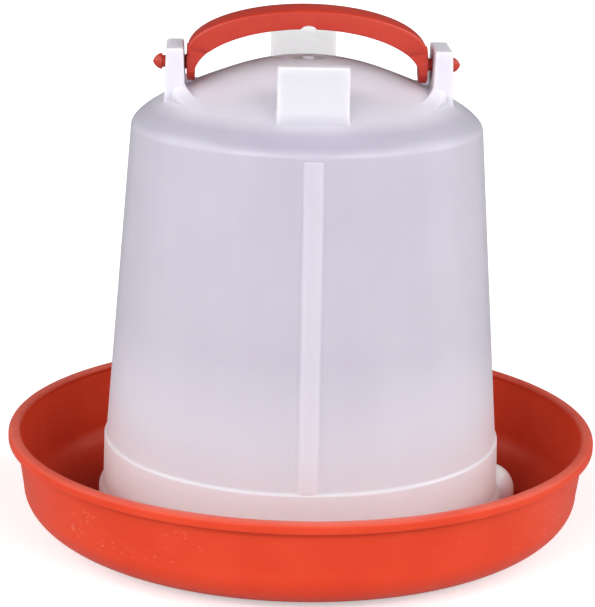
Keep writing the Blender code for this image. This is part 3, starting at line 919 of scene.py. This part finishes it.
def thickness_and_painted_light(n, x, y, z, from_axis):
    """How whitened the skin is: thick on the posts and lugs above the dome, the skirt and the strip, with
    painted light added on the shaded rear post and the low skirt.
    """
    dome_inner, dome_outer = dome_height(POST_INNER), dome_height(POST_OUTER)
    fall = (dome_inner - dome_outer) / (POST_OUTER - POST_INNER)
    ground = n.math("SUBTRACT", dome_inner + fall * POST_INNER, n.math("MULTIPLY", from_axis, fall))
    # posts and lugs are whiter for their thickness; the rear post's full share is partly painted light on
    # its shade
    posts = n.product(n.remap(n.math("SUBTRACT", z, ground), *THICK_START, 0.0, 1.0),
                      n.remap(y, *THICK_AND_LIT_BACK, THICK_SIDES, 1.0))
    # the skirt is whiter: partly its thickness, partly painted light against the tray's shade
    skirt = n.remap(z, COLLAR[1] + 0.0015, COLLAR[1] - 0.0030, 0.0, THICK_AND_LIT_SKIRT)
    strip = n.product(n.remap(n.math("ABSOLUTE", x), STRIP_WIDTH / 2 + 0.0004,
                              STRIP_WIDTH / 2 - 0.0010, 0.0, THICK_STRIP),
                      n.math("LESS_THAN", y, 0.0), n.math("LESS_THAN", z, WALL_TOP[1] - 0.0010))
    return n.math("MAXIMUM", posts, n.math("MAXIMUM", skirt, strip))


def milky_plastic(name):
    """Milky polyethylene: light soaks into its skin, it looks whiter where it is thick, and its colour
    holds painted light, shade and sheen.
    """
    n = Nodes(name)
    where = n.place()
    x, y, z = n.add("ShaderNodeSeparateXYZ", {0: where}).outputs
    from_axis = n.length(x, y, 0.0)
    base = n.mix(thickness_and_painted_light(n, x, y, z, from_axis), milky_tones(n, where, z), MILK_THICK_AND_LIT)
    normal = n.bump(n.noise(n.place((24.0, 24.0, 10.0)), 1.0, 2.0), 0.12, 0.0012)
    normal = n.bump(n.noise(where, 1500.0, 2.0), 0.10, 0.00006, normal)
    gate = n.product(n.math("GREATER_THAN", z, WALL_TOP[1]),
                     n.remap(from_axis, GATE_R, GATE_R + 0.0010, 1.0, 0.0))
    n.shade(Base_Color=base, Roughness=n.remap(gate, 0.0, 1.0, MILK_ROUGHNESS, GATE_ROUGHNESS),
            IOR=MILK_IOR, Normal=normal, Subsurface_Weight=1.0, Subsurface_Scale=SOAK,
            Subsurface_Radius=(1.0, 0.9, 1.0))
    return n.material


def floor_finish(name):
    """Plain pale matt paper, which throws only a little light back up at the object."""
    n = Nodes(name)
    where = n.place()
    tone = n.remap(n.noise(where, 3.0), 0.3, 0.7, 0.0, 1.0)
    pale = n.mix(tone, PAPER_CLOUD, PAPER)
    back = n.add("ShaderNodeSeparateXYZ", {0: where}).outputs["Y"]
    bounce = n.mix(n.remap(back, *BOUNCE_FADE, 0.0, 1.0), PAPER_BOUNCE, PAPER_BOUNCE_BACK)
    seen = n.add("ShaderNodeLightPath").outputs["Is Camera Ray"]
    n.shade(Base_Color=n.mix(seen, bounce, pale), Roughness=0.9,
            Emission_Color=(1.0, 1.0, 1.0, 1.0), Emission_Strength=n.math("MULTIPLY", seen, FLOOR_GLOW))
    return n.material


# ---- camera and light ----

def direction(azimuth, elevation):
    """Unit vector from the object towards a place at an azimuth and elevation in degrees."""
    a, e = math.radians(azimuth), math.radians(elevation)
    return Vector((math.sin(a) * math.cos(e), -math.cos(a) * math.cos(e), math.sin(e)))


def add_camera():
    """A long lens in front of the object and a little above it."""
    towards = direction(CAMERA_AZIMUTH, CAMERA_ELEVATION)
    turn = towards.to_track_quat("Z", "Y")
    side = turn @ Vector((1.0, 0.0, 0.0))
    aim = Vector((0.0, 0.0, AIM_HEIGHT)) + side * AIM_SIDE
    camera = bpy.data.objects.new("camera", bpy.data.cameras.new("camera"))
    bpy.context.scene.collection.objects.link(camera)
    camera.data.lens = CAMERA_LENS
    roll = Matrix.Rotation(math.radians(CAMERA_ROLL), 4, "Z")
    place = Matrix.Translation(aim + towards * CAMERA_DISTANCE)
    camera.matrix_world = place @ turn.to_matrix().to_4x4() @ roll
    bpy.context.scene.camera = camera


def soft_sun(name, azimuth, elevation, wide, strength):
    """A distant round softbox, wide degrees across, which lights the whole floor evenly."""
    light = bpy.data.lights.new(name, "SUN")
    light.angle = math.radians(wide)
    light.energy = strength
    thing = bpy.data.objects.new(name, light)
    bpy.context.scene.collection.objects.link(thing)
    thing.rotation_euler = direction(azimuth, elevation).to_track_quat("Z", "Y").to_euler()


def add_world():
    """A white tent: bright at both sides, dimmer in front and above, and dark behind the object."""
    world = bpy.data.worlds.new("studio")
    world.use_nodes = True
    tree = world.node_tree
    split = tree.nodes.new("ShaderNodeSeparateXYZ")
    tree.links.new(tree.nodes.new("ShaderNodeTexCoord").outputs["Generated"], split.inputs[0])
    side = tree.nodes.new("ShaderNodeMath")
    side.operation = "ABSOLUTE"
    tree.links.new(split.outputs["X"], side.inputs[0])
    ramps = ((side.outputs[0], *SIDE_FADE, TENT_FRONT, TENT_SIDES),
             (split.outputs["Y"], *BACK_FADE, 1.0, TENT_BACK_SHARE),
             (split.outputs["Z"], *TOP_FADE, 1.0, TENT_TOP_SHARE))
    strength = None
    for value, low, high, at_low, at_high in ramps:
        ramp = tree.nodes.new("ShaderNodeMapRange")
        tree.links.new(value, ramp.inputs["Value"])
        for key, number in (("From Min", low), ("From Max", high), ("To Min", at_low), ("To Max", at_high)):
            ramp.inputs[key].default_value = number
        product = tree.nodes.new("ShaderNodeMath")
        product.operation = "MULTIPLY"
        tree.links.new(ramp.outputs[0], product.inputs[0])
        product.inputs[1].default_value = 1.0
        if strength is not None:
            tree.links.new(strength, product.inputs[1])
        strength = product.outputs[0]
    background = tree.nodes["Background"]
    tree.links.new(strength, background.inputs["Strength"])
    background.inputs["Color"].default_value = (1.0, 1.0, 1.0, 1.0)
    bpy.context.scene.world = world


def add_stage():
    """The floor, the softboxes round it and the tent."""
    work = bmesh.new()
    bmesh.ops.create_grid(work, x_segments=8, y_segments=8, size=FLOOR_HALF)
    floor = from_bmesh("floor", work, bpy.context.scene.collection)
    floor.data.materials.append(floor_finish("floor_paper"))
    for azimuth in SIDE_SUN_AZIMUTHS:
        soft_sun("softbox_right", azimuth, SIDE_SUN_ELEVATION, SIDE_SUN_WIDE, SIDE_SUN)
        soft_sun("softbox_left", -azimuth, SIDE_SUN_ELEVATION, SIDE_SUN_WIDE, SIDE_SUN)
    for side in (1, -1):
        soft_sun("softbox_fill", side * FILL_SUN_AZIMUTH, FILL_SUN_ELEVATION, FILL_SUN_WIDE, FILL_SUN)
    soft_sun("softbox_front", 0, FRONT_SUN_ELEVATION, FRONT_SUN_WIDE, FRONT_SUN)
    add_world()
    bpy.context.scene.view_settings.view_transform = "Standard"


def main():
    add_camera()
    add_stage()
    tray = make_tray(red_plastic("tray_red", TRAY_RED, TRAY_RED_DEEP, TRAY_GLOSS, True))
    fount = make_fount(milky_plastic("fount_milky"))
    handle = make_handle(red_plastic("handle_red", HANDLE_RED, HANDLE_RED_DEEP, HANDLE_GLOSS, False))
    for piece, body, node, slot in ((tray, "tray", "drinking_tray", "tray_plastic"),
                                    (fount, "fount", "fount", "fount_plastic"),
                                    (handle, "handle", "carry_handle", "handle_plastic")):
        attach(piece, body)
        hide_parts(node)


main()
